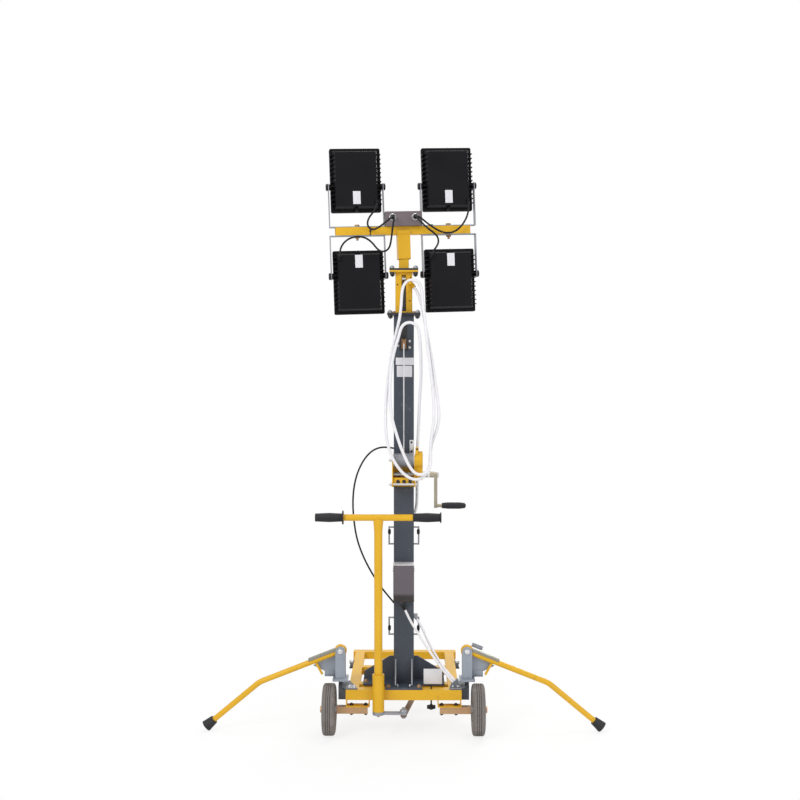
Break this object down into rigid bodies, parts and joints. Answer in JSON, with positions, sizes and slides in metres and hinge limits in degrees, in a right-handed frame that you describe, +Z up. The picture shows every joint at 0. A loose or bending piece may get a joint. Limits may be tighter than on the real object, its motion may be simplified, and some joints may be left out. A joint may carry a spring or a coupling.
{
  "type": "mobile light tower",
  "caption": "Hand-pushed trolley light tower: three-section winch mast, four floodlights, T-handle steering and two swing-out outriggers.",
  "frame": {"origin": "on the floor, under the middle of the whole machine", "axes": "+X to the right of the person who pushes it, +Y ahead, +Z up along the mast"},
  "size_m": [1.9968, 0.92, 2.8992],
  "materials": {
    "yellow_paint": "satin",
    "mast_paint": "satin",
    "black_paint": "satin",
    "box_plastic": "matte",
    "grey_steel": "satin",
    "plated_steel": "satin",
    "gold_plate": "satin",
    "brass_plate": "satin",
    "grip_rubber": "matte",
    "control_paint": "satin",
    "link_paint": "satin",
    "tyre_rubber": "matte",
    "hub_paint": "satin",
    "fitting_paint": "satin",
    "black_plastic": "matte",
    "lamp_paint": "satin",
    "lamp_glass": "clear",
    "head_paint": "satin",
    "foot_rubber": "matte",
    "saddle_paint": "satin",
    "white_rubber": "satin",
    "black_rubber": "matte"
  },
  "bodies": {
    "chassis": {"near_crossbar": "yellow_paint", "side_rails": "yellow_paint", "cross_members": "yellow_paint", "far_crossbar": "yellow_paint", "mast_foot": "mast_paint", "outer_mast": "mast_paint", "mast_guide": "black_paint", "winch_bracket": "yellow_paint", "winch_drum": "plated_steel", "winch_cover": "yellow_paint", "rope_pulley": "brass_plate", "hoist_rope": "plated_steel", "control_box": "control_paint", "cable_hooks": "grey_steel", "stub_axles": "gold_plate", "frame_fittings": "fitting_paint", "clamp_screw": "black_plastic", "mast_cable": "white_rubber", "side_cable": "black_rubber", "front_lead": "white_rubber", "back_lead": "white_rubber"},
    "mid_section": {"middle_mast": "yellow_paint", "head_guide": "black_paint"},
    "lamp_head": {"inner_mast": "yellow_paint", "lamp_tee": "yellow_paint", "junction_box": "box_plastic", "lamp_yokes": "grey_steel", "lead_upper_left": "black_rubber", "lead_upper_right": "black_rubber", "lead_lower_left": "black_rubber", "lead_lower_right": "black_rubber"},
    "crank_handle": {"crank": "gold_plate", "crank_grip": "grip_rubber"},
    "tiller_handle": {"tiller": "yellow_paint", "tiller_grips": "grip_rubber", "tiller_arm": "grey_steel"},
    "steering_link": {"drag_link": "link_paint"},
    "fork": {"steering_fork": "yellow_paint"},
    "wheel_steered": {"tyre_steered": "tyre_rubber", "hub_steered": "hub_paint"},
    "wheel_left": {"tyre_left": "tyre_rubber", "hub_left": "hub_paint"},
    "wheel_right": {"tyre_right": "tyre_rubber", "hub_right": "hub_paint"},
    "outrigger_swivel_left": {"swivel_head_left": "head_paint"},
    "outrigger_arm_left": {"outrigger_leg_left": "yellow_paint", "outrigger_foot_left": "foot_rubber", "leg_saddle_left": "saddle_paint"},
    "outrigger_swivel_right": {"swivel_head_right": "head_paint"},
    "outrigger_arm_right": {"outrigger_leg_right": "yellow_paint", "outrigger_foot_right": "foot_rubber", "leg_saddle_right": "saddle_paint"},
    "floodlight_upper_left": {"lamp_upper_left": "lamp_paint", "glass_upper_left": "lamp_glass"},
    "floodlight_upper_right": {"lamp_upper_right": "lamp_paint", "glass_upper_right": "lamp_glass"},
    "floodlight_lower_left": {"lamp_lower_left": "lamp_paint", "glass_lower_left": "lamp_glass"},
    "floodlight_lower_right": {"lamp_lower_right": "lamp_paint", "glass_lower_right": "lamp_glass"}
  },
  "joints": [
    {"name": "mast_lift", "type": "slide", "parent": "chassis", "child": "mid_section", "axis": [0, 0, 1], "range_m": [0, 1.45], "deforming": ["mast_cable"]},
    {"name": "top_lift", "type": "slide", "parent": "mid_section", "child": "lamp_head", "axis": [0, 0, 1], "range_m": [0, 1.45]},
    {"name": "crank_turn", "type": "hinge", "parent": "chassis", "child": "crank_handle", "pos_m": [0.1, -0.291, 1.275], "axis": [1, 0, 0], "continuous": true},
    {"name": "steer", "type": "hinge", "parent": "chassis", "child": "tiller_handle", "pos_m": [-0.1225, -0.388, 0.25], "axis": [0, 0, 1], "range_deg": [-30, 30]},
    {"name": "link_swing", "type": "hinge", "parent": "tiller_handle", "child": "steering_link", "pos_m": [0, -0.388, 0.1117], "axis": [0, 0, 1], "range_deg": [-30, 30]},
    {"name": "fork_turn", "type": "hinge", "parent": "chassis", "child": "fork", "pos_m": [0, 0.395, 0.17], "axis": [0, 0, 1], "range_deg": [-30, 30]},
    {"name": "steered_wheel_spin", "type": "hinge", "parent": "fork", "child": "wheel_steered", "pos_m": [0, 0.395, 0.065], "axis": [1, 0, 0], "continuous": true},
    {"name": "left_wheel_spin", "type": "hinge", "parent": "chassis", "child": "wheel_left", "pos_m": [-0.365, -0.335, 0.125], "axis": [1, 0, 0], "continuous": true},
    {"name": "right_wheel_spin", "type": "hinge", "parent": "chassis", "child": "wheel_right", "pos_m": [0.365, -0.335, 0.125], "axis": [1, 0, 0], "continuous": true},
    {"name": "swivel_left", "type": "hinge", "parent": "chassis", "child": "outrigger_swivel_left", "pos_m": [-0.3125, -0.276, 0.2625], "axis": [0, 0, -1], "range_deg": [0, 90]},
    {"name": "lift_left", "type": "hinge", "parent": "outrigger_swivel_left", "child": "outrigger_arm_left", "pos_m": [-0.3125, -0.276, 0.4], "axis": [0, 1, 0], "range_deg": [0, 90]},
    {"name": "swivel_right", "type": "hinge", "parent": "chassis", "child": "outrigger_swivel_right", "pos_m": [0.3125, -0.276, 0.2625], "axis": [0, 0, 1], "range_deg": [0, 90]},
    {"name": "lift_right", "type": "hinge", "parent": "outrigger_swivel_right", "child": "outrigger_arm_right", "pos_m": [0.3125, -0.276, 0.4], "axis": [0, -1, 0], "range_deg": [0, 90]},
    {"name": "tilt_upper_left", "type": "hinge", "parent": "lamp_head", "child": "floodlight_upper_left", "pos_m": [-0.23848, -0.22852, 2.69121], "axis": [0.9897, 0.1391, 0.0332], "range_deg": [-60, 60], "deforming": ["lead_upper_left"]},
    {"name": "tilt_upper_right", "type": "hinge", "parent": "lamp_head", "child": "floodlight_upper_right", "pos_m": [0.21481, -0.16481, 2.70639], "axis": [0.9897, 0.1391, 0.0332], "range_deg": [-60, 60], "deforming": ["lead_upper_right"]},
    {"name": "tilt_lower_left", "type": "hinge", "parent": "lamp_head", "child": "floodlight_lower_left", "pos_m": [-0.2241, -0.2265, 2.25345], "axis": [0.9897, 0.1391, 0.0332], "range_deg": [-60, 60], "deforming": ["lead_lower_left"]},
    {"name": "tilt_lower_right", "type": "hinge", "parent": "lamp_head", "child": "floodlight_lower_right", "pos_m": [0.22919, -0.16279, 2.26864], "axis": [0.9897, 0.1391, 0.0332], "range_deg": [-60, 60], "deforming": ["lead_lower_right"]}
  ],
  "couplings": [
    {"joint": "top_lift", "follows": "mast_lift", "ratio": 1},
    {"joint": "link_swing", "follows": "steer", "ratio": -1},
    {"joint": "fork_turn", "follows": "steer", "ratio": 1}
  ]
}
